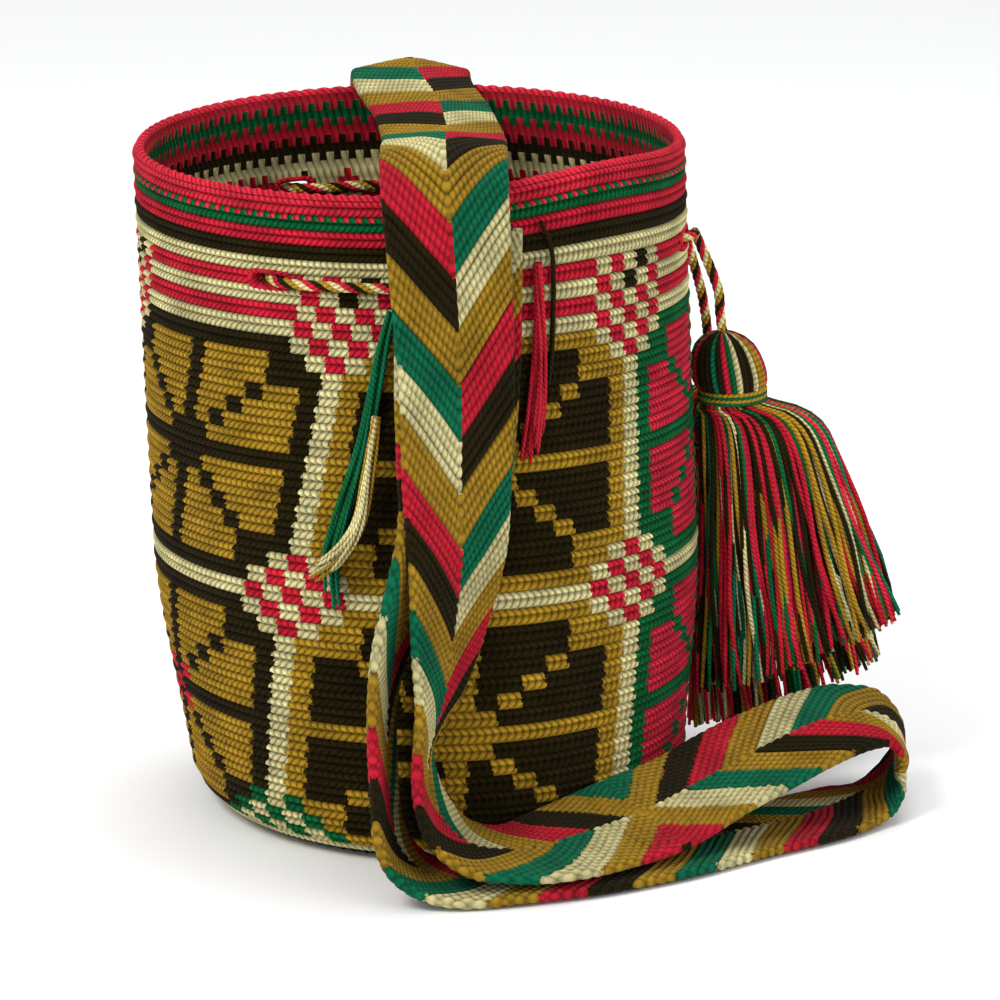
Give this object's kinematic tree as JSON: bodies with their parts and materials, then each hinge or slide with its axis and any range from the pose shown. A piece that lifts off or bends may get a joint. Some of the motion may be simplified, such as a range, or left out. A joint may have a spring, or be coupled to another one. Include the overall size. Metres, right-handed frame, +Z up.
{
  "type": "crocheted drawstring shoulder bag",
  "caption": "Crocheted shoulder bag with an open mouth, a flat base, a wide woven strap looped in front and a twisted drawstring ending in yarn tassels.",
  "frame": {"origin": "centre of the flat base", "axes": "+Z up, +X to the right where the tassels hang, front of the bag at -Y"},
  "size_m": [0.322, 0.2914, 0.2973],
  "materials": {
    "crochet_yarn": "matt",
    "strap_yarn": "matt",
    "cord_yarn": "matt",
    "tassel_yarn": "matt",
    "green_yarn": "matt",
    "cream_yarn": "matt",
    "red_yarn": "matt",
    "dark_yarn": "matt"
  },
  "bodies": {
    "root": {"bag_body": "crochet_yarn", "shoulder_strap": "strap_yarn", "drawstring": "cord_yarn", "tassel_front": "tassel_yarn", "tassel_front_binding": "green_yarn", "tassel_back": "tassel_yarn", "tassel_back_binding": "green_yarn", "yarn_ends_green": "green_yarn", "yarn_ends_cream": "cream_yarn", "yarn_ends_red": "red_yarn", "yarn_loop_dark": "dark_yarn"}
  },
  "joints": []
}
